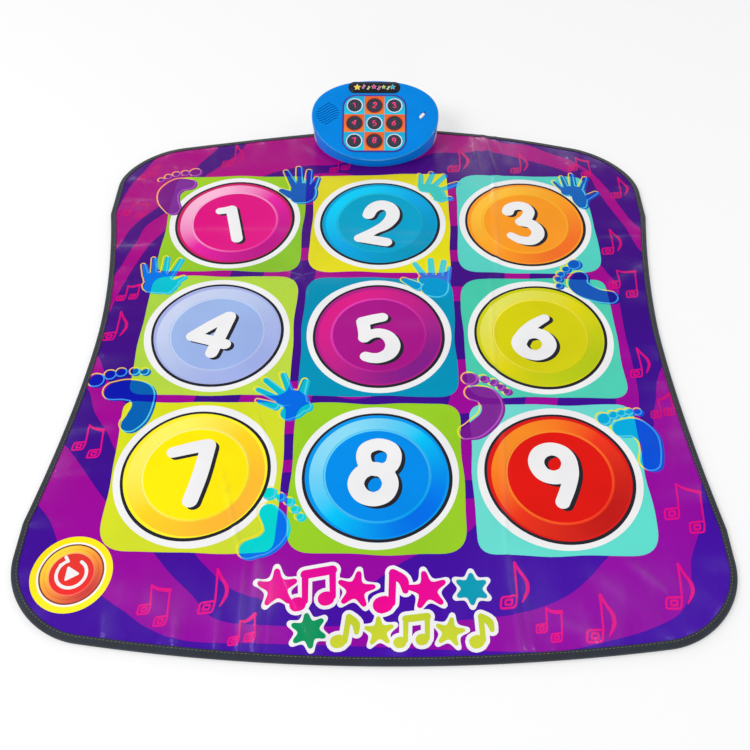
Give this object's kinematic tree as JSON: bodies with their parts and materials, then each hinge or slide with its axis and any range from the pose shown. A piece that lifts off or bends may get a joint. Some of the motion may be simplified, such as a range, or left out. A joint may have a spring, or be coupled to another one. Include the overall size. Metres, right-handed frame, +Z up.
{
  "type": "musical floor game mat",
  "caption": "Soft folding floor mat with numbered touch pads, a start pad and a tilted electronic console with lit windows, loudspeaker and power switch at its rear edge.",
  "frame": {"origin": "on the floor, at the mat's underside, below the middle touch pad", "axes": "+X to the player's right, +Y from the player towards the console, +Z up"},
  "size_m": [0.8192, 0.958, 0.078],
  "materials": {
    "cover_vinyl": "gloss",
    "contact_film": "satin",
    "spacer_foam": "matte",
    "backing_cloth": "matte",
    "edge_tape": "satin",
    "console_blue": "gloss",
    "console_pale": "satin",
    "display_print": "gloss",
    "black_plastic": "satin",
    "window_plastic": "gloss",
    "white_plastic": "satin",
    "board": "satin",
    "speaker_paper": "matte",
    "magnet": "matte",
    "steel": "satin",
    "cell": "satin",
    "foot_rubber": "matte"
  },
  "bodies": {
    "middle_panel_and_console": {"middle_printed_cover": "cover_vinyl", "middle_upper_film": "contact_film", "middle_spacer_foam": "spacer_foam", "middle_lower_film": "contact_film", "middle_backing_sheet": "backing_cloth", "front_edge_binding": "edge_tape", "rear_edge_binding": "edge_tape", "console_top_shell": "console_blue", "console_base": "console_pale", "display_panel": "display_print", "badge_plate": "black_plastic", "window_lenses": "window_plastic", "light_box": "white_plastic", "circuit_board": "board", "tail_connector": "black_plastic", "film_tail": "contact_film", "speaker_frame": "steel", "speaker_cone": "speaker_paper", "speaker_magnet": "magnet", "switch_body": "black_plastic", "battery_contacts_left": "steel", "battery_contacts_right": "steel", "battery_1": "cell", "battery_2": "cell", "battery_3": "cell", "clamp_plate": "steel", "clamp_screw_1": "steel", "clamp_screw_2": "steel", "shell_screw_front_left": "steel", "shell_screw_front_right": "steel", "shell_screw_rear_left": "steel", "shell_screw_rear_right": "steel", "rubber_foot_left": "foot_rubber", "rubber_foot_right": "foot_rubber"},
    "left_panel": {"left_printed_cover": "cover_vinyl", "left_upper_film": "contact_film", "left_spacer_foam": "spacer_foam", "left_lower_film": "contact_film", "left_backing_sheet": "backing_cloth", "left_edge_binding": "edge_tape"},
    "right_panel": {"right_printed_cover": "cover_vinyl", "right_upper_film": "contact_film", "right_spacer_foam": "spacer_foam", "right_lower_film": "contact_film", "right_backing_sheet": "backing_cloth", "right_edge_binding": "edge_tape"},
    "pad_1": {"touch_pad_1": "cover_vinyl"},
    "pad_2": {"touch_pad_2": "cover_vinyl"},
    "pad_3": {"touch_pad_3": "cover_vinyl"},
    "pad_4": {"touch_pad_4": "cover_vinyl"},
    "pad_5": {"touch_pad_5": "cover_vinyl"},
    "pad_6": {"touch_pad_6": "cover_vinyl"},
    "pad_7": {"touch_pad_7": "cover_vinyl"},
    "pad_8": {"touch_pad_8": "cover_vinyl"},
    "pad_9": {"touch_pad_9": "cover_vinyl"},
    "pad_start": {"start_pad": "cover_vinyl"},
    "power_knob": {"switch_knob": "white_plastic"},
    "battery_cover": {"battery_door": "console_pale", "door_screw": "steel"}
  },
  "joints": [
    {"name": "left_fold", "type": "hinge", "parent": "middle_panel_and_console", "child": "left_panel", "pos_m": [-0.13905, 0, -0.0005], "axis": [0, -1, 0], "range_deg": [0, 180]},
    {"name": "right_fold", "type": "hinge", "parent": "middle_panel_and_console", "child": "right_panel", "pos_m": [0.13905, 0, -0.00335], "axis": [0, 1, 0], "range_deg": [0, 180]},
    {"name": "press_1", "type": "slide", "parent": "left_panel", "child": "pad_1", "axis": [0, 0, -1], "range_m": [0, 0.002], "stiffness_N_per_m": 2500, "springref_m": -0.0004},
    {"name": "press_2", "type": "slide", "parent": "middle_panel_and_console", "child": "pad_2", "axis": [0, 0, -1], "range_m": [0, 0.002], "stiffness_N_per_m": 2500, "springref_m": -0.0004},
    {"name": "press_3", "type": "slide", "parent": "right_panel", "child": "pad_3", "axis": [0, 0, -1], "range_m": [0, 0.002], "stiffness_N_per_m": 2500, "springref_m": -0.0004},
    {"name": "press_4", "type": "slide", "parent": "left_panel", "child": "pad_4", "axis": [0, 0, -1], "range_m": [0, 0.002], "stiffness_N_per_m": 2500, "springref_m": -0.0004},
    {"name": "press_5", "type": "slide", "parent": "middle_panel_and_console", "child": "pad_5", "axis": [0, 0, -1], "range_m": [0, 0.002], "stiffness_N_per_m": 2500, "springref_m": -0.0004},
    {"name": "press_6", "type": "slide", "parent": "right_panel", "child": "pad_6", "axis": [0, 0, -1], "range_m": [0, 0.002], "stiffness_N_per_m": 2500, "springref_m": -0.0004},
    {"name": "press_7", "type": "slide", "parent": "left_panel", "child": "pad_7", "axis": [0, 0, -1], "range_m": [0, 0.002], "stiffness_N_per_m": 2500, "springref_m": -0.0004},
    {"name": "press_8", "type": "slide", "parent": "middle_panel_and_console", "child": "pad_8", "axis": [0, 0, -1], "range_m": [0, 0.002], "stiffness_N_per_m": 2500, "springref_m": -0.0004},
    {"name": "press_9", "type": "slide", "parent": "right_panel", "child": "pad_9", "axis": [0, 0, -1], "range_m": [0, 0.002], "stiffness_N_per_m": 2500, "springref_m": -0.0004},
    {"name": "press_start", "type": "slide", "parent": "left_panel", "child": "pad_start", "axis": [0, 0, -1], "range_m": [0, 0.002], "stiffness_N_per_m": 1500, "springref_m": -0.0004},
    {"name": "power_slide", "type": "slide", "parent": "middle_panel_and_console", "child": "power_knob", "axis": [0.6691, 0.689, 0.2784], "range_m": [0, 0.0045]},
    {"name": "battery_cover_off", "type": "slide", "parent": "middle_panel_and_console", "child": "battery_cover", "axis": [0, 0, -1], "range_m": [0, 0.02]}
  ]
}
